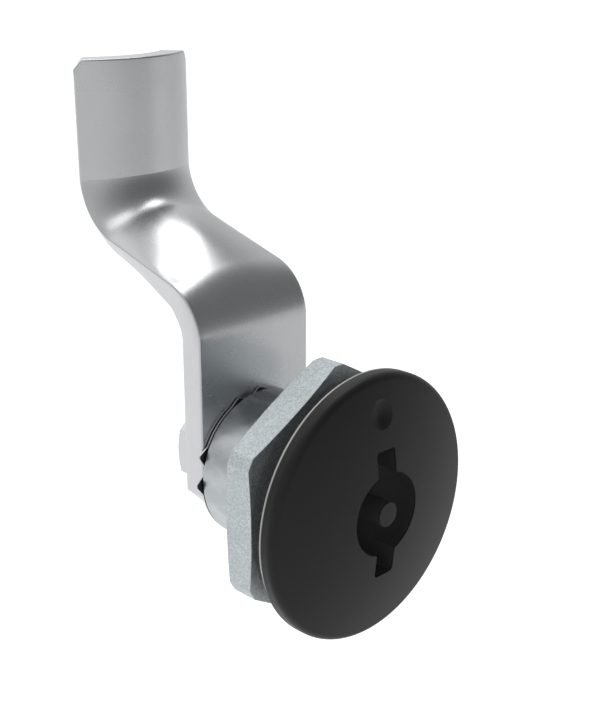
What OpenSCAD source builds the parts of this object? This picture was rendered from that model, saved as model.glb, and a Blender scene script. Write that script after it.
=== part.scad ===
// Quarter-turn cam latch for a sheet-metal door or cover.
// Y runs along the barrel from the face disc (-Y) to the inside of the door (+Y), +Z is up.
// The origin is on the barrel's axis, in the door's front face where the gasket lies on it.
// The cam stands up at rest, which is closed, and turns to +X when the key turns the head.

/* [Face disc] */
// diameter of the round face disc
head_d = 32.8; // [31:0.1:35]
// depth of the disc from its rim to the middle of its domed face
head_h = 4.5; // [4.3:0.1:6]
// radius of the domed face
dome_r = 57.8; // [55:0.1:80]
// rounding of the front edge
head_edge_r = 1.14; // [0.8:0.02:1.4]
// chamfer on the disc's back edge
head_back_cut = 0.15; // [0.05:0.05:0.3]
// diameter of the round index dimple on the face
dimple_d = 3.6; // [2.6:0.1:4]
// depth of the index dimple
dimple_depth = 0.6; // [0.3:0.05:0.7]
// distance of the index dimple from the axis
dimple_at = 12.1; // [11.6:0.1:12.6]

/* [Key socket] */
// diameter of the round part of the key socket
socket_d = 10.3; // [9:0.1:11]
// distance across both wing slots
wing_span = 15.9; // [14:0.1:16]
// width of each wing slot
wing_w = 3.1; // [2.6:0.1:3.6]
// rounding of the outer corners of the wing slots
wing_corner_r = 0.45; // [0.3:0.05:0.8]
// diameter of the pin in the middle of the socket
key_pin_d = 3; // [2.6:0.1:3.4]
// depth of the socket from the middle of the face
socket_depth = 9; // [7:0.1:10]

/* [Housing] */
// diameter of the flange hidden in the back of the disc
flange_d = 27; // [26:0.1:28]
// thickness of that flange
flange_t = 1.5; // [1.2:0.05:1.6]
// outside diameter of the threaded barrel
barrel_d = 19.2; // [19:0.1:20.6]
// length of the barrel behind the door's front face
barrel_len = 16.1; // [14.5:0.05:18]
// diameter of the rotor's shaft in the barrel
shaft_d = 17.2; // [17:0.1:17.4]
// diameter of the rotor's neck in the barrel's rear wall
neck_d = 12; // [11.8:0.1:12.4]
// thickness of the barrel's rear wall
rear_wall = 1.7; // [1.4:0.05:2]
// chamfer on the rear edge of the barrel
barrel_chamfer = 0.15; // [0.1:0.05:0.4]
// length of the stop lug and of the room it swings in
lug_len = 1.4; // [1.2:0.05:1.6]
// width of the stop lug, as an angle
lug_deg = 40; // [30:1:50]
// turn of the cam from closed to open
turn_deg = 90; // [60:5:120]

/* [Thrust washer and gasket] */
// thickness of the plastic washer between disc and flange
thrust_t = 0.4; // [0.3:0.05:0.5]
// thickness of the rubber gasket between flange and door
gasket_t = 1; // [0.8:0.05:1.5]

/* [Shaft seal] */
// thickness of the rubber ring's section
ring_w = 1.2; // [1:0.05:1.3]
// distance of the rubber ring behind the door's front face
ring_at = 8; // [7.5:0.1:9]

/* [Hex nut] */
// distance between the nut's front face and the door's front face
door_t = 2.13; // [1:0.01:3]
// thickness of the nut
nut_t = 4.12; // [3.5:0.01:5]
// distance across the nut's flats
nut_af = 29; // [28:0.1:30]
// diameter over the nut's turned-off corners
nut_corner_d = 32.64; // [32:0.02:33]
// height of the slope on each face at the nut's corners
nut_slope = 0.35; // [0.2:0.05:0.6]

/* [Toothed washer] */
// thickness of the room between barrel and cam
tooth_room = 0.5; // [0.4:0.01:1]
// thickness of the washer
tooth_t = 0.3; // [0.2:0.01:0.35]
// diameter over the teeth
tooth_d = 20.7; // [20:0.1:21.2]
// diameter of the ring between the pairs of teeth
tooth_ring_d = 19.5; // [19:0.1:19.8]
// diameter at the notch between the two teeth of a pair
tooth_notch_d = 18.4; // [17:0.1:18.8]
// number of pairs of teeth
tooth_pairs = 5; // [4:1:6]
// angle between the two teeth of a pair
tooth_pair_deg = 21; // [18:0.5:24]
// angle a tooth covers at its foot
tooth_deg = 17; // [14:0.5:18]
// angle of the washer's first notch above +X, as seen from the front
tooth_start_deg = 27; // [0:1:71]

/* [Cam] */
// width of the cam
cam_w = 18; // [17:0.1:20]
// thickness of the cam
cam_t = 3.3; // [3:0.05:3.5]
// height of the lower bend above the barrel's axis
cam_bend_z = 17.2; // [16:0.1:20]
// front radius of the lower bend
bend_low_r = 7; // [6:0.1:7.5]
// front radius of the upper bend
bend_top_r = 8; // [7:0.1:9]
// distance the tip stands behind the lower plate
cam_offset = 22.38; // [20:0.02:26]
// angle of the slope above level
slope_deg = 15.5; // [10:0.5:25]
// height of the tip above the barrel's axis
cam_top = 48.77; // [46:0.01:55]
// radius of the rolled tip, measured on its front
tip_r = 13.76; // [13:0.02:16]
// depth of the cam below the barrel's axis
cam_tail = 7; // [6.4:0.1:8]
// size of the corner cuts at the cam's lower end
tail_cut = 4.8; // [4:0.1:5]
// width of the corner cuts at the tip
tip_cut_w = 0.8; // [0.5:0.05:1.2]
// height of the corner cuts at the tip
tip_cut_h = 1.2; // [0.8:0.05:1.6]
// width of the square end of the rotor
square_w = 8; // [7.6:0.1:8.2]

/* [Screw and washers] */
// thickness of the flat washer
flat_washer_t = 1; // [0.8:0.05:1.6]
// diameter of the flat washer
flat_washer_d = 12; // [11.8:0.1:12.6]
// thickness of the pressed-flat spring washer
spring_washer_t = 1.4; // [1.2:0.05:1.6]
// diameter of the spring washer
spring_washer_d = 11.8; // [11:0.1:12]
// width of the cut in the spring washer
spring_gap = 0.8; // [0.5:0.1:1.2]
// distance across the screw head's flats
screw_af = 10; // [9.8:0.1:10.2]
// height of the screw head
screw_head_h = 4; // [3.8:0.1:4.5]
// diameter of the screw's thread
screw_d = 6; // [5.8:0.05:6.2]
// length of the screw under its head
screw_len = 12; // [10:1:13]

/* [Fits] */
// gap between flat faces that slide on each other
slide_gap = 0.04; // [0.02:0.01:0.08]
// radial gap of the rotor in the barrel
run_gap = 0.05; // [0.03:0.01:0.08]
// radial gap where a part must stay free of its neighbour
free_gap = 0.3; // [0.2:0.05:0.4]
// gap on each side of the rotor's square end in the cam
square_gap = 0.05; // [0.03:0.01:0.1]

/* [Hidden] */

black = [0.07, 0.07, 0.075];
zinc = [0.72, 0.74, 0.76];
steel = [0.78, 0.79, 0.80];
rubber = [0.1, 0.1, 0.1];
nylon = [0.85, 0.84, 0.8];

// stations along the barrel, from the face to the screw's head
rim_y = -gasket_t;
apex_y = rim_y - head_h;
flange_y = rim_y - flange_t;
thrust_y = flange_y - slide_gap - thrust_t;
pocket_y = thrust_y - slide_gap;
socket_y = apex_y + socket_depth;
stop_y = barrel_len - rear_wall - lug_len;
cam_y = barrel_len + tooth_room;
square_y = cam_y + cam_t - 0.2;
flat_washer_y = cam_y + cam_t;
spring_washer_y = flat_washer_y + flat_washer_t;
screw_y = spring_washer_y + spring_washer_t;

// radii that follow from the sizes above
head_r = head_d / 2;
dome_cy = apex_y + dome_r;
edge_cr = head_r - head_edge_r;
edge_cy = dome_cy - sqrt(pow(dome_r - head_edge_r, 2) - pow(edge_cr, 2));
edge_deg = asin(edge_cr / (dome_r - head_edge_r));
pocket_r = flange_d / 2 + free_gap;
shaft_r = shaft_d / 2;
bore_r = shaft_r + run_gap;
neck_r = neck_d / 2;
neck_bore_r = neck_r + run_gap;
barrel_r = barrel_d / 2;
screw_r = screw_d / 2;
screw_hole_r = screw_r + run_gap;
groove_r = shaft_r - ring_w - 0.02;

// turns a profile of points [radius, y] round the latch's axis
module turned(points) {
    rotate([-90, 0, 0])
        rotate_extrude($fn = 128)
            polygon(points);
}

// cylinder along the latch's axis from y0 to y1
module rod(r, y0, y1) {
    translate([0, y0, 0])
        rotate([-90, 0, 0])
            cylinder(r = r, h = y1 - y0, $fn = 96);
}

// hexagonal bar along the latch's axis, with corners at turn degrees from +X
module hex_bar(af, y0, y1, turn) {
    translate([0, y0, 0])
        rotate([-90, 0, 0])
            rotate([0, 0, turn])
                cylinder(r = af / 2 / cos(30), h = y1 - y0, $fn = 6);
}

// slice of a round bar, from angle a0 to a1 up from +X, in the view from the front
module sector(r, y0, y1, a0, a1) {
    steps = ceil((a1 - a0) / 30);
    rotate([90, 0, 0])
        translate([0, 0, -y1])
            linear_extrude(y1 - y0)
                polygon(concat([[0, 0]], [for (i = [0:steps])
                    let (a = a0 + (a1 - a0) * i / steps)
                    [2 * r * cos(a), 2 * r * sin(a)]]));
}

// outline of the key socket, seen from the front
module socket_shape() {
    half = wing_span / 2;
    side = wing_w / 2;
    circle(d = socket_d, $fn = 96);
    square([wing_w - 2 * wing_corner_r, wing_span], center = true);
    square([wing_w, wing_span - 2 * wing_corner_r], center = true);
    for (x = [-1, 1], z = [-1, 1]) {
        translate([x * (side - wing_corner_r), z * (half - wing_corner_r)])
            circle(r = wing_corner_r, $fn = 24);
    }
}

// half section of the face disc: dome, rounded edge and the pocket in its back
module disc_shape() {
    difference() {
        union() {
            intersection() {
                translate([0, dome_cy])
                    circle(r = dome_r, $fn = 360);
                translate([0, apex_y - 1])
                    square([dome_r * sin(edge_deg), head_h + 1]);
            }
            translate([edge_cr, edge_cy])
                circle(r = head_edge_r, $fn = 48);
            translate([edge_cr, edge_cy])
                square([head_edge_r, rim_y - edge_cy]);
        }
        translate([-1, pocket_y])
            square([pocket_r + 1, head_h]);
        polygon([[head_r - head_back_cut, rim_y], [head_r + 1, rim_y - head_back_cut - 1],
            [head_r + 1, rim_y + 1], [head_r - head_back_cut - 1, rim_y + 1]]);
    }
}

// domed face disc, shaft, neck and square end of the rotor, cast in one piece
module rotor_head() {
    body = [[0, pocket_y - 0.3], [shaft_r, pocket_y - 0.3],
        [shaft_r, ring_at - ring_w / 2 - 0.15], [groove_r, ring_at - ring_w / 2 - 0.15],
        [groove_r, ring_at + ring_w / 2 + 0.15], [shaft_r, ring_at + ring_w / 2 + 0.15],
        [shaft_r, stop_y - slide_gap], [neck_r, stop_y - slide_gap],
        [neck_r, cam_y], [0, cam_y]];
    dimple_r = (pow(dimple_d / 2, 2) + pow(dimple_depth, 2)) / (2 * dimple_depth);
    dimple_tilt = asin(dimple_at / dome_r);
    dimple_cr = dome_r + dimple_r - dimple_depth;
    lug_y1 = stop_y + lug_len - slide_gap;
    color(black)
    difference() {
        union() {
            rotate([-90, 0, 0])
                rotate_extrude($fn = 128)
                    disc_shape();
            turned(body);
            intersection() {
                rod(shaft_r, stop_y - slide_gap - 0.5, lug_y1);
                sector(shaft_r, stop_y - slide_gap - 0.5, lug_y1, -90 - lug_deg / 2, -90 + lug_deg / 2);
            }
            translate([-square_w / 2, cam_y - 0.5, -square_w / 2])
                cube([square_w, square_y - cam_y + 0.5, square_w]);
        }
        difference() {
            rotate([90, 0, 0])
                translate([0, 0, -socket_y])
                    linear_extrude(socket_depth + 1)
                        socket_shape();
            rod(key_pin_d / 2, apex_y, socket_y + 0.5);
        }
        translate([0, dome_cy - dimple_cr * cos(dimple_tilt), dimple_cr * sin(dimple_tilt)])
            rotate([90, 0, 0])
                sphere(r = dimple_r, $fn = 48);
        rod(screw_hole_r, screw_y - screw_len - 1.5, square_y + 1);
    }
}

// thin plastic washer the disc turns on
module thrust_washer() {
    color(nylon)
    difference() {
        rod(pocket_r - free_gap, thrust_y, thrust_y + thrust_t);
        rod(shaft_r + free_gap, thrust_y - 1, thrust_y + thrust_t + 1);
    }
}

// rubber ring in the shaft's groove
module shaft_ring() {
    color(rubber)
    rotate([-90, 0, 0])
        translate([0, 0, ring_at])
            rotate_extrude($fn = 96)
                translate([shaft_r - ring_w / 2, 0])
                    circle(d = ring_w, $fn = 24);
}

// barrel with its flange, rear wall and quarter-turn stop
module housing() {
    stop_a0 = -90 + lug_deg / 2 + 1;
    stop_a1 = 270 - lug_deg / 2 - turn_deg - 1;
    color(zinc)
    union() {
        turned([[bore_r, flange_y], [flange_d / 2, flange_y], [flange_d / 2, rim_y],
            [barrel_r, rim_y], [barrel_r, barrel_len - barrel_chamfer],
            [barrel_r - barrel_chamfer, barrel_len], [neck_bore_r, barrel_len],
            [neck_bore_r, barrel_len - rear_wall], [bore_r, barrel_len - rear_wall]]);
        intersection() {
            difference() {
                rod(bore_r + 0.5, stop_y, barrel_len - rear_wall + 0.5);
                rod(neck_bore_r, stop_y - 1, barrel_len);
            }
            sector(bore_r + 0.5, stop_y - 1, barrel_len, stop_a0, stop_a1);
        }
    }
}

// flat rubber ring between flange and door
module flange_gasket() {
    color(rubber)
    difference() {
        rod(flange_d / 2, rim_y, 0);
        rod(barrel_r + free_gap / 2, rim_y - 1, 1);
    }
}

// hexagonal nut with a corner at the top, its corners turned round and sloped
module hex_nut() {
    slope = nut_corner_d / 2 - nut_af / 2;
    color(zinc)
    difference() {
        intersection() {
            hex_bar(nut_af, door_t, door_t + nut_t, 30);
            turned([[0, door_t], [nut_corner_d / 2 - slope, door_t],
                [nut_corner_d / 2, door_t + nut_slope],
                [nut_corner_d / 2, door_t + nut_t - nut_slope],
                [nut_corner_d / 2 - slope, door_t + nut_t], [0, door_t + nut_t]]);
        }
        rod(barrel_r + run_gap, door_t - 1, door_t + nut_t + 1);
    }
}

// lock washer with pairs of pointed teeth round its outside
module toothed_washer() {
    y0 = barrel_len + (tooth_room - tooth_t) / 2;
    near = tooth_pair_deg / 2;
    far = near + tooth_deg / 2;
    gap = near - tooth_deg / 2 + 1;
    steps = [[-far, tooth_ring_d], [-near - 1, tooth_d], [-near + 1, tooth_d], [-gap, tooth_notch_d],
        [gap, tooth_notch_d], [near - 1, tooth_d], [near + 1, tooth_d], [far, tooth_ring_d]];
    rest = [for (i = [1:5]) [far + (360 / tooth_pairs - 2 * far) * i / 6, tooth_ring_d]];
    color(black)
    difference() {
        rotate([90, 0, 0])
            translate([0, 0, -y0 - tooth_t])
                linear_extrude(tooth_t)
                    polygon([for (k = [0:tooth_pairs - 1], s = concat(steps, rest))
                        let (a = tooth_start_deg + k * 360 / tooth_pairs + s[0])
                        [s[1] / 2 * cos(a), s[1] / 2 * sin(a)]]);
        rod(neck_r + free_gap / 2, y0 - 1, y0 + 1);
    }
}

// stations of the cam's bends: [y, z, tilt of the front face, half angle of the roll, cut]
bend_deg = 90 - slope_deg;
low_c = [bend_low_r, cam_bend_z];
low_end = low_c + bend_low_r * [-cos(bend_deg), sin(bend_deg)];
top_start_y = cam_offset - bend_top_r + bend_top_r * sin(slope_deg);
top_start_z = low_end[1] + (top_start_y - low_end[0]) * tan(slope_deg);
top_c = [cam_offset - bend_top_r, top_start_z + bend_top_r * cos(slope_deg)];
roll_max = asin(cam_w / 2 / tip_r);
roll_y0 = 3.4;
roll_y1 = 16.6;

// half angle of the cam's roll at distance y behind the lower plate's front
function roll_at(y) =
    let (t = min(1, max(0, (y - roll_y0) / (roll_y1 - roll_y0))))
    max(0.02, roll_max * (1 - pow(1 - t, 1.9)));

low_steps = 12;
mid_steps = 12;
top_steps = 14;
cam_path = concat(
    [for (i = [0:low_steps])
        let (a = bend_deg * i / low_steps)
        [low_c[0] - bend_low_r * cos(a), low_c[1] + bend_low_r * sin(a), a]],
    [for (i = [1:mid_steps])
        let (f = i / (mid_steps + 1))
        [low_end[0] + (top_start_y - low_end[0]) * f,
         low_end[1] + (top_start_z - low_end[1]) * f, bend_deg]],
    [for (i = [0:top_steps])
        let (a = bend_deg * (1 - i / top_steps))
        [top_c[0] + bend_top_r * cos(a), top_c[1] - bend_top_r * sin(a), a]],
    [[cam_offset, cam_top - tip_cut_h, 0], [cam_offset, cam_top, 0]]);

// bent and rolled upper part of the cam, drawn through its stations
module cam_bends() {
    across = 14;
    count = len(cam_path);
    row = across + 1;
    points = [for (k = [0:count - 1])
        let (s = cam_path[k], roll = roll_at(s[0]), radius = cam_w / 2 / sin(roll))
        let (half = k == count - 1 ? asin((cam_w / 2 - tip_cut_w) / radius) : roll)
        let (up_y = -cos(s[2]), up_z = sin(s[2]))
        for (side = [0, 1], j = [0:across])
            let (phi = half * (2 * j / across - 1))
            let (lift = radius * (cos(phi) - cos(roll)) - side * cam_t * cos(phi))
            [(radius - side * cam_t) * sin(phi), cam_y + s[0] + lift * up_y, s[1] + lift * up_z]];
    faces = concat(
        [for (k = [0:count - 2], j = [0:across - 1], h = [0, 1])
            let (a = 2 * row * k + j, b = a + 1, c = b + 2 * row, d = a + 2 * row)
            h == 0 ? [a, d, b] : [b, d, c]],
        [for (k = [0:count - 2], j = [0:across - 1], h = [0, 1])
            let (a = 2 * row * k + row + j, b = a + 1, c = b + 2 * row, d = a + 2 * row)
            h == 0 ? [a, b, d] : [b, c, d]],
        [for (k = [0:count - 2], e = [0, across], h = [0, 1])
            let (a = 2 * row * k + e, b = a + row, c = b + 2 * row, d = a + 2 * row)
            (e == 0) == (h == 0) ? (e == 0 ? [a, b, d] : [a, d, c]) : (e == 0 ? [b, c, d] : [a, c, b])],
        [for (j = [0:across - 1], h = [0, 1])
            let (a = j, b = j + 1, c = b + row, d = a + row)
            h == 0 ? [a, b, c] : [a, c, d]],
        [for (j = [0:across - 1], h = [0, 1])
            let (o = 2 * row * (count - 1), a = o + j, b = a + 1, c = b + row, d = a + row)
            h == 0 ? [a, c, b] : [a, d, c]]);
    polyhedron(points, faces, convexity = 8);
}

// bent steel cam with a square hole and a rolled tip
module cam() {
    half = cam_w / 2;
    hole = square_w + 2 * square_gap;
    color(steel)
    union() {
        cam_bends();
        translate([0, cam_y + cam_t, 0])
            rotate([90, 0, 0])
                linear_extrude(cam_t)
                    difference() {
                        polygon([[-half, cam_bend_z], [-half, tail_cut - cam_tail],
                            [tail_cut - half, -cam_tail], [half - tail_cut, -cam_tail],
                            [half, tail_cut - cam_tail], [half, cam_bend_z]]);
                        square([hole, hole], center = true);
                    }
    }
}

// plain washer under the spring washer
module flat_washer() {
    color(steel)
    difference() {
        rod(flat_washer_d / 2, flat_washer_y, flat_washer_y + flat_washer_t);
        rod(screw_r + 0.2, flat_washer_y - 1, flat_washer_y + flat_washer_t + 1);
    }
}

// spring washer, pressed flat, with its slanted cut
module spring_washer() {
    color(steel)
    difference() {
        rod(spring_washer_d / 2, spring_washer_y, spring_washer_y + spring_washer_t);
        rod(screw_r + 0.1, spring_washer_y - 1, spring_washer_y + spring_washer_t + 1);
        translate([0, spring_washer_y + spring_washer_t / 2, -spring_washer_d / 2])
            rotate([0, 0, 25])
                cube([spring_gap, 6, spring_washer_d], center = true);
    }
}

// hexagon screw that clamps the cam
module hex_screw() {
    top_y = screw_y + screw_head_h;
    corner_r = screw_af / 2 / cos(30);
    flat_r = screw_af / 2 * 0.95;
    color(steel)
    union() {
        intersection() {
            hex_bar(screw_af, screw_y, top_y, 30);
            turned([[0, screw_y], [corner_r, screw_y],
                [corner_r, top_y - (corner_r - flat_r) * tan(30)], [flat_r, top_y], [0, top_y]]);
        }
        turned([[0, screw_y - screw_len], [screw_r - 0.6, screw_y - screw_len],
            [screw_r, screw_y - screw_len + 0.6], [screw_r, screw_y + 0.5], [0, screw_y + 0.5]]);
    }
}

rotor_head();
thrust_washer();
shaft_ring();
housing();
flange_gasket();
hex_nut();
toothed_washer();
cam();
flat_washer();
spring_washer();
hex_screw();
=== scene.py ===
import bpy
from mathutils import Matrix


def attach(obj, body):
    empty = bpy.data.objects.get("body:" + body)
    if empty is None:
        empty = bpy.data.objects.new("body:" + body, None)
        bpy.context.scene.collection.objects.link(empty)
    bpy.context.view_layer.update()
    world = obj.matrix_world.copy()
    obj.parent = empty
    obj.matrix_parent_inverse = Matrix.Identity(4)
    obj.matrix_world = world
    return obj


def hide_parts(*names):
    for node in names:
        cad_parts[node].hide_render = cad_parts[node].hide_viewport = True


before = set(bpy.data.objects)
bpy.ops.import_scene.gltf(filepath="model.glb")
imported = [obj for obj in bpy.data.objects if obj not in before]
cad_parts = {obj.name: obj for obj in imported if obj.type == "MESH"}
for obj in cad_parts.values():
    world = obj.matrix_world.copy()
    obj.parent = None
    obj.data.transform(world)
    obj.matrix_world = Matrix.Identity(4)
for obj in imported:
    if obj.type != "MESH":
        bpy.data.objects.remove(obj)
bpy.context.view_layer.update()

import math

import bmesh
import bpy
from mathutils import Matrix, Vector

# Housing: the barrel with its flange, die-cast in zinc, turned on its outside and plated.
# Its thread is so fine and flat that it reads as one smooth, softly clouded grey surface.
# The flange sits in front of the door and the nut behind it.
MM = 0.001


class Field:
    """A socket of a shader whose arithmetic adds the nodes that work it out."""

    def __init__(self, shading, socket):
        self.shading = shading
        self.socket = socket

    def _maths(self, kind, a, b):
        return self.shading.node("ShaderNodeMath", {"operation": kind}, [a, b])[0]

    def __add__(self, other):
        return self._maths("ADD", self, other)

    def __sub__(self, other):
        return self._maths("SUBTRACT", self, other)

    def __rsub__(self, other):
        return self._maths("SUBTRACT", other, self)

    def __mul__(self, other):
        return self._maths("MULTIPLY", self, other)

    def __truediv__(self, other):
        return self._maths("DIVIDE", self, other)

    def __pow__(self, other):
        return self._maths("POWER", self, other)

    __radd__ = __add__
    __rmul__ = __mul__

    def between(self, low, high, to_low=0.0, to_high=1.0):
        """The value drawn smoothly from low..high to to_low..to_high, and held at the ends."""
        settings = {"interpolation_type": "SMOOTHSTEP", "clamp": True}
        values = {"Value": self, "From Min": low, "From Max": high,
                  "To Min": to_low, "To Max": to_high}
        return self.shading.node("ShaderNodeMapRange", settings, values)[0]

    def towards(self, direction):
        """How far the vector points along a direction, which is a plain vector of length one."""
        values = [self, tuple(direction)]
        return self.shading.node("ShaderNodeVectorMath", {"operation": "DOT_PRODUCT"}, values)[1]

    def unit(self):
        """The vector brought to length one."""
        return self.shading.node("ShaderNodeVectorMath", {"operation": "NORMALIZE"}, [self])[0]

    def parts(self):
        """The x, y and z of a vector."""
        return self.shading.node("ShaderNodeSeparateXYZ", {}, [self])


class Shading:
    """A tree of shader nodes: the base of each finish, and of the room."""

    def __init__(self, tree):
        self.tree = tree

    def put(self, socket, value):
        """Links a Field to a socket, or sets the socket to plain numbers."""
        if isinstance(value, Field):
            self.tree.links.new(value.socket, socket)
        elif socket.type == "RGBA":
            socket.default_value = (*value, 1.0) if len(value) == 3 else value
        else:
            socket.default_value = value

    def node(self, kind, settings=None, values=None):
        """Adds any node and gives its outputs as Fields. Its settings come before its sockets."""
        made = self.tree.nodes.new(kind)
        for name, value in (settings or {}).items():
            setattr(made, name, value)
        pairs = values.items() if isinstance(values, dict) else enumerate(values or [])
        for name, value in pairs:
            self.put(made.inputs[name], value)
        return [Field(self, output) for output in made.outputs]

    def place(self):
        """Where a point is on the object, in metres, moving with its own body."""
        return self.node("ShaderNodeTexCoord")[3]


class Coat(Shading):
    """A finish: one material with a Principled shader, and the nodes that feed it."""

    def __init__(self, name, base, metallic, roughness, **more):
        self.material = bpy.data.materials.new(name)
        self.material.use_nodes = True
        super().__init__(self.material.node_tree)
        self.tree.nodes.clear()
        self.shader = self.tree.nodes.new("ShaderNodeBsdfPrincipled")
        out = self.tree.nodes.new("ShaderNodeOutputMaterial")
        self.tree.links.new(self.shader.outputs[0], out.inputs["Surface"])
        self.set(**{"Base Color": base, "Metallic": metallic, "Roughness": roughness, **more})

    def set(self, **values):
        """Feeds the Principled shader's sockets, by name."""
        for name, value in values.items():
            self.put(self.shader.inputs[name], value)

    def grain(self, size_mm, detail=2.0, stretch=(1, 1, 1), roughness=0.5):
        """Noise whose features are about size_mm across, stretched along the object's axes."""
        placed = {"Vector": self.place(), "Scale": [s / (size_mm * MM) for s in stretch]}
        where = self.node("ShaderNodeMapping", {"vector_type": "POINT"}, placed)[0]
        values = {"Vector": where, "Scale": 1.0, "Detail": detail, "Roughness": roughness}
        return self.node("ShaderNodeTexNoise", {"noise_dimensions": "3D"}, values)[0]

    def blend(self, factor, first, second):
        """Colour from first, where factor is 0, to second, where it is 1."""
        settings = {"data_type": "RGBA", "clamp_factor": True}
        return self.node("ShaderNodeMix", settings, {0: factor, 6: first, 7: second})[2]

    def relief(self, height, depth_mm, strength=1.0, edge_mm=None):
        """Fine relief: height runs from 0 to 1 over a real depth. edge_mm rounds sharp edges."""
        values = {"Height": height, "Strength": strength, "Distance": depth_mm * MM}
        if edge_mm:
            values["Normal"] = self.node("ShaderNodeBevel", {"samples": 6}, {"Radius": edge_mm * MM})[0]
        self.set(Normal=self.node("ShaderNodeBump", {}, values)[0])

    def dress(self, *nodes):
        """Puts the finish on CAD nodes, in place of their plain one."""
        for name in nodes:
            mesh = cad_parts[name].data
            mesh.materials.clear()
            mesh.materials.append(self.material)


zinc = Coat("turned zinc", (0.52, 0.55, 0.57), 1.0, 0.3)
cloud = zinc.grain(2.6, 3.0, (1, 0.45, 1)).between(0.3, 0.72)
film = zinc.grain(0.5, 3.0, (1, 0.3, 1))
zinc.set(**{
    "Base Color": zinc.blend(cloud, (0.40, 0.43, 0.45), (0.62, 0.645, 0.66)),
    "Roughness": 0.22 + cloud * 0.2 + film * 0.06,
})
zinc.relief(film, 0.004, 0.4, 0.1)
zinc.dress("housing")

# Flange gasket and shaft ring: black rubber, cut from sheet and moulded.
# The gasket is pressed between the flange and the door, and the ring seals the shaft in its bore.
rubber = Coat("black rubber", (0.018, 0.018, 0.019), 0.0, 0.7)
rubber.relief(rubber.grain(0.12, 2.0), 0.006, 0.6, 0.1)
rubber.dress("flange_gasket", "shaft_ring")

# Thrust washer: a thin ring of natural nylon that the disc turns on, between it and the flange.
# It lies loose in the pocket of the disc.
nylon = Coat("natural nylon", (0.62, 0.60, 0.54), 0.0, 0.45)
nylon.relief(nylon.grain(0.5, 2.0), 0.003, 0.4, 0.05)
nylon.dress("thrust_washer")

# Rotor head: the domed disc, key socket, shaft and square end are one zinc casting.
# Powder coat makes the disc a soft even black. Inside the socket the coat is dry and dull, and its
# colour is painted lighter the deeper it lies: painted light against the socket's shade.
disc_front, dome_radius, socket_reach = 5.5, 57.8, 8.0
black = Coat("black coat", (0.012, 0.012, 0.0125), 0.0, 0.42, IOR=1.36)
across, depth, up = [part / MM for part in black.place().parts()]
from_axis = (across * across + up * up) ** 0.5
# How deep a point lies under the dome, in mm: more than nothing only in the socket.
sunk = depth + disc_front - from_axis * from_axis / (2 * dome_radius)
inside = sunk.between(0.05, 0.3) * (1.0 - from_axis.between(socket_reach, socket_reach + 0.3))
# The socket's colour grows lighter with depth: painted light where shade falls, over the plain black
# coat elsewhere.
coat_and_painted_socket_light = inside * sunk.between(0.3, 7.5, 0.036, 0.17) + (1.0 - inside) * 0.012
# A light metallic band is painted on the rim's rear edge along its lower half: a painted highlight.
painted_rim_highlight = from_axis.between(16.08, 16.25) * depth.between(-1.45, -1.3) * up.between(-8.0, -2.0)
pore = black.grain(0.16, 2.0)
black.set(**{
    "Base Color": black.blend(painted_rim_highlight, coat_and_painted_socket_light, (0.46, 0.45, 0.44)),
    "Metallic": painted_rim_highlight * 0.8,
    "Roughness": pore.between(0.3, 0.7) * 0.06 + 0.4 + inside * 0.3,
})
black.relief(pore, 0.004, 0.5, 0.14)
# The dome is one ball surface: its corners take the ball's own direction, so it shades evenly.
dome_centre = Vector((0.0, dome_radius - disc_front, 0.0)) * MM
# A corner is on it when it lies this near to the ball, in mm, and its face looks this much outward.
near_ball, outward_least = 0.01, 0.98
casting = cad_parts["rotor_head"].data.copy()
casting.materials.clear()
casting.materials.append(black.material)
shades = [corner.vector.copy() for corner in casting.corner_normals]
for face in casting.polygons:
    for corner in face.loop_indices:
        from_centre = casting.vertices[casting.loops[corner].vertex_index].co - dome_centre
        outward = from_centre.normalized()
        on_ball = abs(from_centre.length - dome_radius * MM) < near_ball * MM
        if on_ball and face.normal.dot(outward) > outward_least:
            shades[corner] = outward
casting.normals_split_custom_set(shades)
rotor_casting = bpy.data.objects.new("rotor_casting", casting)
bpy.context.scene.collection.objects.link(rotor_casting)
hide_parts("rotor_head")
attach(rotor_casting, "rotor")

# Hex nut: steel, hot-galvanised, so its faces are a fine mottle of light and dark zinc grains.
# Its corners are turned off round. It is screwed up the barrel against the back of the door.
crystal = 0.15
galvanised = Coat("galvanised", (0.6, 0.63, 0.64), 0.85, 0.5)
cells = {"Vector": galvanised.place(), "Scale": 1 / (crystal * MM)}
cell_colour = galvanised.node("ShaderNodeTexVoronoi", {}, cells)[1]
fleck = galvanised.node("ShaderNodeSeparateColor", {}, [cell_colour])[0]
tone = fleck * 0.5 + galvanised.grain(0.2, 3.0, roughness=0.65) * 0.5
patch = galvanised.grain(2.4, 2.0).between(0.35, 0.65)
dark_zinc, light_zinc = (0.47, 0.515, 0.535), (0.68, 0.725, 0.745)
galvanised.set(**{
    "Base Color": galvanised.blend(tone.between(0.25, 0.75), dark_zinc, light_zinc),
    "Roughness": 0.4 + tone * 0.16 + patch * 0.05,
})
galvanised.relief(tone, 0.015, 0.5, 0.12)
galvanised.dress("hex_nut")

# Toothed washer: stamped from blackened spring steel, with pairs of pointed teeth on its edge.
# Of its five places for a pair one is plain, and the teeth of one are worn low. It is pinched
# between the barrel and the cam; its edges are painted light and metallic, as a painted highlight.
washer_front, washer_thick, washer_bore, washer_edge = 16.2, 0.3, 6.15, 0.05
ring_radius, tooth_radius, worn_radius, notch_radius = 9.55, 10.35, 9.9, 9.2
pair_reach = (tooth_radius, worn_radius, tooth_radius, ring_radius, tooth_radius)
first_pair, pair_pitch, ring_steps = 27, 360 / len(pair_reach), 6
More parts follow.
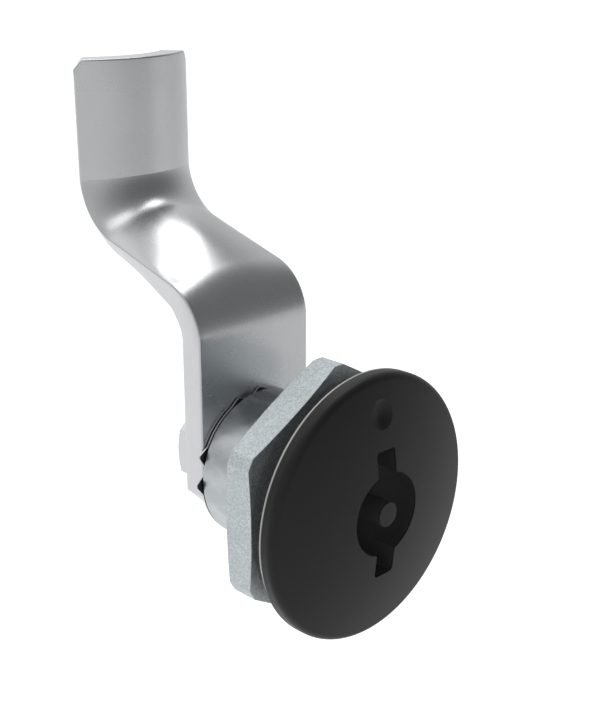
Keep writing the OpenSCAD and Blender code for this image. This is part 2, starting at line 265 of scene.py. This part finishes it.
# A pair's edge, in degrees from its middle: the foot, the flat top and the notch of one tooth.
tooth_foot = 19
one_tooth = [(tooth_foot, ring_radius), (11.5, tooth_radius), (9.5, tooth_radius), (3, notch_radius)]
tooth_steps = [(-turn, radius) for turn, radius in one_tooth] + one_tooth[::-1]
tooth_steps += [(tooth_foot + (pair_pitch - 2 * tooth_foot) * i / ring_steps, ring_radius)
                for i in range(1, ring_steps)]
sharp_from = math.radians(35)


def piece(name, mesh, coat, node, body):
    """Turns a finished bmesh into the piece for a CAD node, shaded soft up to its sharp edges."""
    bmesh.ops.recalc_face_normals(mesh, faces=mesh.faces)
    data = bpy.data.meshes.new(name)
    mesh.to_mesh(data)
    mesh.free()
    data.shade_smooth()
    data.set_sharp_from_angle(angle=sharp_from)
    data.materials.append(coat.material)
    made = bpy.data.objects.new(name, data)
    bpy.context.scene.collection.objects.link(made)
    made.modifiers.new("even shading", "WEIGHTED_NORMAL").keep_sharp = True
    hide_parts(node)
    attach(made, body)


def strip(mesh, first, second):
    """Quads between two closed rows of points."""
    for i in range(len(first)):
        n = (i + 1) % len(first)
        mesh.faces.new((first[i], first[n], second[n], second[i]))


# The washer's section, one row of points each: how far in from the edge (none is the bore),
# how deep from the front, and whether the painted edge highlight lies there.
washer_section = (
    (None, 0.0, 0), (washer_edge, 0.0, 0), (0.0, washer_edge, 1),
    (0.0, washer_thick - washer_edge, 1), (washer_edge, washer_thick, 0), (None, washer_thick, 0),
)
washer_mesh = bmesh.new()
painted_edge_shine = washer_mesh.verts.layers.float.new("painted_edge_shine")
washer_rows = []
for inset, back, shine in washer_section:
    row = []
    for pair, pair_radius in enumerate(pair_reach):
        for turn, radius in tooth_steps:
            angle = math.radians(first_pair + pair_pitch * pair + turn)
            out = washer_bore if inset is None else min(radius, pair_radius) - inset
            place = Vector((out * math.cos(angle), washer_front + back, out * math.sin(angle)))
            vertex = washer_mesh.verts.new(place * MM)
            vertex[painted_edge_shine] = shine
            row.append(vertex)
    washer_rows.append(row)
for first, second in zip(washer_rows, washer_rows[1:] + washer_rows[:1]):
    strip(washer_mesh, first, second)
spring_steel = Coat("blackened spring steel", (0.01, 0.01, 0.011), 0.0, 0.35)
edge_shine_attribute = spring_steel.node("ShaderNodeAttribute", {"attribute_name": "painted_edge_shine"})[2]
# Along the edges the colour is painted light and metallic: a painted highlight.
painted_edge_highlight = (edge_shine_attribute * 1.3 - spring_steel.grain(0.5, 2.0) * 0.6).between(0.35, 0.75)
spring_steel.set(**{
    "Base Color": spring_steel.blend(painted_edge_highlight, (0.01, 0.01, 0.011), (0.62, 0.63, 0.64)),
    "Metallic": painted_edge_highlight,
    "Roughness": 0.35 - painted_edge_highlight * 0.05,
})
spring_steel.relief(spring_steel.grain(0.2, 2.0), 0.004, 0.4)
piece("lock_washer", washer_mesh, spring_steel, "toothed_washer", "rotor")

# Cam: stainless steel plate, cut out, bent twice and rolled across its tip, with its edges broken.
# Bead blasting leaves it satin. The square hole sits on the rotor's end, and one screw clamps it.
cam_half, cam_thick, cam_edge, least_round = 9.0, 3.3, 0.26, 0.02
cam_front, cam_bottom, tail_cut, hole_half = 16.6, -7.0, 4.8, 4.05
tip_top, tip_cut_wide, tip_cut_high = 48.77, 0.8, 1.2
bend, crease, crease_wide = math.radians(74.5), math.radians(6.9), 0.12
low_radius, low_height = 7.0, 17.2
top_radius, tip_back, tip_radius = 8.0, 22.38, 13.76
slope_front = low_radius * (1 - math.cos(bend))
slope_back = tip_back - top_radius * (math.cos(crease) - math.cos(bend))
slope_low = low_height + low_radius * math.sin(bend)
slope_top = slope_low + (slope_back - slope_front) / math.tan(bend)
tip_start = slope_top + top_radius * math.sin(bend)
# The roll starts low on the slope. It grows faster along the plate's middle than at its edges.
full_roll, least_roll = math.asin(cam_half / tip_radius), 0.0003
roll_start, middle_share = 1.3, 0.7
middle_reach, middle_ease = 15.3, (1.4, 2.2)
edge_reach, edge_ease = 20.3, (1.6, 1.4)
# How many steps each stretch of the plate has, from its tail to its tip.
plate_steps, low_steps, slope_steps, top_steps, tip_steps, hole_steps = 10, 30, 30, 40, 12, 6


def cam_stops():
    """Stops along the plate's front line, from the tail to the tip, in mm: y, z, tilt, half width,
    and how far the outline draws in where an end is rounded."""
    cut_end, cut_z = cam_bottom + tail_cut, tip_top - tip_cut_high

    def straight(y, z):
        """A stop where the plate is upright; the tail is narrower below the end of its cut."""
        return y, z, 0.0, min(cam_half, cam_half + z - cut_end), 0.0

    rounding = [(cam_edge * (1 - math.sin(t)), cam_edge * (1 - math.cos(t)))
                for t in map(math.radians, (90, 67, 45, 22, 0))]
    stops = [(0.0, cam_bottom + up, 0.0, cam_half + cam_bottom + up - cut_end, inset)
             for up, inset in rounding]
    # Up the tail and past the hole, close together where the tail's cut ends.
    heights = (-6.3, -5.6, -4.8, -hole_half, -3.1, cut_end - 0.1, cut_end, cut_end + 0.1,
               -1.0, 0.0, 1.35, 2.7, hole_half)
    stops += [straight(0.0, z) for z in heights]
    stops += [straight(0.0, hole_half + (low_height - hole_half) * i / plate_steps)
              for i in range(1, plate_steps)]
    for i in range(low_steps + 1):
        a = bend * i / low_steps
        y, z = low_radius * (1 - math.cos(a)), low_height + low_radius * math.sin(a)
        stops.append((y, z, a, cam_half, 0.0))
    for i in range(1, slope_steps):
        y = slope_front + (slope_back - slope_front) * i / slope_steps
        z = slope_low + (slope_top - slope_low) * i / slope_steps
        stops.append((y, z, bend, cam_half, 0.0))
    for i in range(top_steps + 1):
        a = bend + (crease - bend) * i / top_steps
        y = tip_back - top_radius * (math.cos(crease) - math.cos(a))
        stops.append((y, tip_start - top_radius * math.sin(a), a, cam_half, 0.0))
    stops.append(straight(tip_back, tip_start - top_radius * math.sin(crease) + crease_wide))
    stops += [straight(tip_back, tip_start + (cut_z - tip_start) * i / tip_steps)
              for i in range(1, tip_steps + 1)]
    for down, inset in reversed(rounding):
        half = cam_half - tip_cut_wide * (tip_cut_high - down) / tip_cut_high
        stops.append((tip_back, tip_top - down, 0.0, half, inset))
    return stops


# The section's points run once round, and the front point c lies opposite the point opposite - c.
# Both rows hold the hole's sides, so that it can be left open between two of their points.
cam_columns = [hole_half * k / hole_steps for k in range(-2 * hole_steps, 2 * hole_steps + 1)]
cam_columns = [-cam_half] + cam_columns + [cam_half]
corner_turns, side_steps = (22.5, 45.0, 67.5), 3
columns = len(cam_columns)
opposite = 2 * (columns + len(corner_turns)) + side_steps
hole_columns = range(1 + hole_steps, 1 + 3 * hole_steps)


def cam_outline(half, inset):
    """The plate's rounded section as across and depth, in mm: front, right side, back, left side."""
    reach, soft = half - cam_edge, max(cam_edge - inset, least_round)
    back_edge = cam_thick - cam_edge
    row = [min(reach, max(-reach, w)) for w in cam_columns]
    sides = [cam_edge + (back_edge - cam_edge) * i / side_steps for i in range(side_steps + 1)]

    def corner(across, depth, first):
        turns = [math.radians(first + turn) for turn in corner_turns]
        return [(across + soft * math.cos(t), depth + soft * math.sin(t)) for t in turns]

    points = [(w, inset) for w in row] + corner(reach, cam_edge, -90)
    points += [(half - inset, d) for d in sides] + corner(reach, back_edge, 0)
    points += [(w, cam_thick - inset) for w in reversed(row)] + corner(-reach, back_edge, 90)
    return points + [(inset - half, d) for d in reversed(sides)] + corner(-reach, cam_edge, 180)


def roll_at(y, reach, ease):
    """How far half the width is rolled, as an angle, where the front line has come back by y."""
    share = min(1.0, max(0.0, (y - roll_start) / reach))
    return full_roll * (1 - (1 - share ** ease[0]) ** ease[1])


def cam_point(y, z, tilt, across, depth):
    """A point of the rolled plate, in metres, from its place across it and under its front."""
    middle_roll = roll_at(y, middle_reach, middle_ease)
    edge_roll = roll_at(y, edge_reach, edge_ease)
    roll = max(least_roll, middle_share * middle_roll + (1 - middle_share) * edge_roll)
    crown = cam_half * (math.tan(middle_roll / 2) - math.tan(roll / 2))
    radius = cam_half / math.sin(roll)
    lift = (radius - depth) * math.sqrt(1 - (across / radius) ** 2) - radius * math.cos(roll)
    lift += crown * (0.5 + 0.5 * math.cos(math.pi * across / cam_half))
    x = (radius - depth) * across / radius
    return Vector((x, cam_front + y - lift * math.cos(tilt), z + lift * math.sin(tilt))) * MM


def across_plate(row, c):
    """The face from the front to the back of one row, between columns c and c + 1."""
    cam_mesh.faces.new((row[c], row[c + 1], row[opposite - c - 1], row[opposite - c]))


cam_mesh = bmesh.new()
cam_rows = []
for y, z, tilt, half, inset in cam_stops():
    row = [cam_mesh.verts.new(cam_point(y, z, tilt, w, d)) for w, d in cam_outline(half, inset)]
    cam_rows.append((z, row))
for (low_z, low), (high_z, high) in zip(cam_rows, cam_rows[1:]):
    beside_hole = low_z > -hole_half - 0.01 and high_z < hole_half + 0.01
    for i in range(len(low)):
        column = i if i < columns - 1 else opposite - 1 - i
        if not (beside_hole and column in hole_columns):
            n = (i + 1) % len(low)
            cam_mesh.faces.new((low[i], low[n], high[n], high[i]))
    if beside_hole:
        for c in (hole_columns[0], hole_columns[-1] + 1):
            cam_mesh.faces.new((low[c], low[opposite - c], high[opposite - c], high[c]))
for z, row in cam_rows:
    if abs(abs(z) - hole_half) < 0.001:
        for c in hole_columns:
            across_plate(row, c)
for row in (cam_rows[0][1], cam_rows[-1][1]):
    for c in range(columns - 1):
        across_plate(row, c)
    cam_mesh.faces.new(row[columns - 1:opposite - columns + 2])
    cam_mesh.faces.new(row[opposite:] + row[:1])
bmesh.ops.remove_doubles(cam_mesh, verts=cam_mesh.verts, dist=0.0005 * MM)
satin = Coat("satin stainless", (0.60, 0.61, 0.62), 1.0, 0.3)
bead = satin.grain(0.14, 2.0)
haze = satin.grain(5.0, 2.0)
satin.set(Roughness=bead * 0.05 + haze.between(0.3, 0.7) * 0.04 + 0.225)
satin.relief(bead, 0.0025, 0.5)
piece("bent_cam", cam_mesh, satin, "cam", "rotor")

# Flat washer, spring washer and hexagon screw: bright zinc-plated steel, M6.
# The spring washer is pressed flat under the head, and the screw clamps the stack to the rotor.
plated = Coat("bright zinc plating", (0.60, 0.61, 0.62), 1.0, 0.28)
plated.relief(plated.grain(0.3, 2.0), 0.003, 0.4, 0.15)
plated.dress("flat_washer", "spring_washer", "hex_screw")

# Camera: the photograph's own view, worked out from the part's measured edges.
# The disc's axis runs to the left and back, and the view looks down on it a little.
camera = bpy.data.objects.new("camera", bpy.data.cameras.new("camera"))
bpy.context.scene.collection.objects.link(camera)
camera.data.lens = 62.88
camera.data.clip_start, camera.data.clip_end = 0.005, 20
camera.location = Vector((-99.940, -90.845, 65.268)) * MM
camera_azimuth, camera_elevation = -135.059, 19.464


def heading(azimuth, elevation):
    """The direction at an azimuth from +X towards +Y and an elevation, in degrees."""
    a, e = math.radians(azimuth), math.radians(elevation)
    return Vector((math.cos(e) * math.cos(a), math.cos(e) * math.sin(a), math.sin(e)))


camera.rotation_mode = "QUATERNION"
camera.rotation_quaternion = (-heading(camera_azimuth, camera_elevation)).to_track_quat("-Z", "Y")
bpy.context.scene.camera = camera

# Floor: one pale sheet well below the latch, so that only a faint soft shadow reaches it.
# The camera sees it as white. Seen in the metal it glows with painted light: lightest behind the latch
# and darkest in front, a little lighter again under the camera, with a narrow lighter band across the
# view.
floor_reach, floor_drop = 8.0, 0.16
floor_corners = [(x * floor_reach, y * floor_reach, 0)
                 for x, y in ((-1, -1), (1, -1), (1, 1), (-1, 1))]
floor_mesh = bpy.data.meshes.new("floor")
floor_mesh.from_pydata(floor_corners, [], [(0, 1, 2, 3)])
floor = bpy.data.objects.new("floor", floor_mesh)
floor.location.z = -floor_drop
bpy.context.scene.collection.objects.link(floor)
paper = Coat("floor", (0.8, 0.8, 0.8), 0.0, 0.9)
rays = paper.node("ShaderNodeLightPath")
seen_by_camera, seen_in_metal = rays[0], rays[3] + rays[6]
spot = paper.place().unit()
# Emission seen only in reflections: painted light that the floor gives to the metal.
rear_glow = spot.towards(heading(95, 0)).between(-0.6, 1.4, 0.13, 0.50)
near_glow = spot.towards((-0.707, -0.707, 0.0)).between(0.3, 1.0, 0.0, 0.13)
beside = spot.towards((0.725, 0.688, 0.0))
side_glow = beside.between(-0.03, 0.08) * (1.0 - beside.between(0.2, 0.7)) * 0.14
paper.set(**{
    "Emission Color": (1, 1, 1),
    "Emission Strength": seen_by_camera * 0.66 + seen_in_metal * (rear_glow + near_glow + side_glow),
})
floor_mesh.materials.append(paper.material)

# Room: soft even light all round, dimmer at the camera's right and brighter behind the latch.
# The camera sees it as white. Two soft boxes hang high over the latch, a strong one towards
# its right and back and a weaker one nearly overhead.
world = bpy.data.worlds.new("room")
world.use_nodes = True
room = Shading(world.node_tree)
aim = room.node("ShaderNodeTexCoord")[0]
seen = room.node("ShaderNodeLightPath")[0]
even_glow = aim.towards(heading(305, 40)).between(0.35, 1.0, 0.62, 0.18)
back_glow = aim.towards(heading(88, 32)).between(0.6, 1.0, 0.0, 0.6)
backdrop = world.node_tree.nodes["Background"]
room.put(backdrop.inputs["Color"], (1, 1, 1))
room.put(backdrop.inputs["Strength"], (even_glow + back_glow) * (1.0 - seen) + seen)
bpy.context.scene.world = world
box_distance = 1.0


def soft_box(name, towards, along, width, height, radiance):
    """A rectangular soft box in a direction from the latch, facing it, its width along a line."""
    data = bpy.data.lights.new(name, "AREA")
    data.shape = "RECTANGLE"
    data.size, data.size_y = width, height
    data.energy = radiance * width * height * math.pi
    lamp = bpy.data.objects.new(name, data)
    lamp.location = towards * box_distance
    along = (along - along.dot(towards) * towards).normalized()
    axes = Matrix((along, towards.cross(along), towards)).transposed()
    lamp.rotation_mode = "QUATERNION"
    lamp.rotation_quaternion = axes.to_quaternion()
    bpy.context.scene.collection.objects.link(lamp)


soft_box("main soft box", heading(29, 68), Vector((0.906, -0.423, 0.0)), 0.50, 0.32, 2.8)
soft_box("second soft box", heading(160, 80), Vector((0.906, -0.1, 0.0)), 0.40, 0.30, 1.3)

bpy.context.scene.view_settings.view_transform = "Standard"
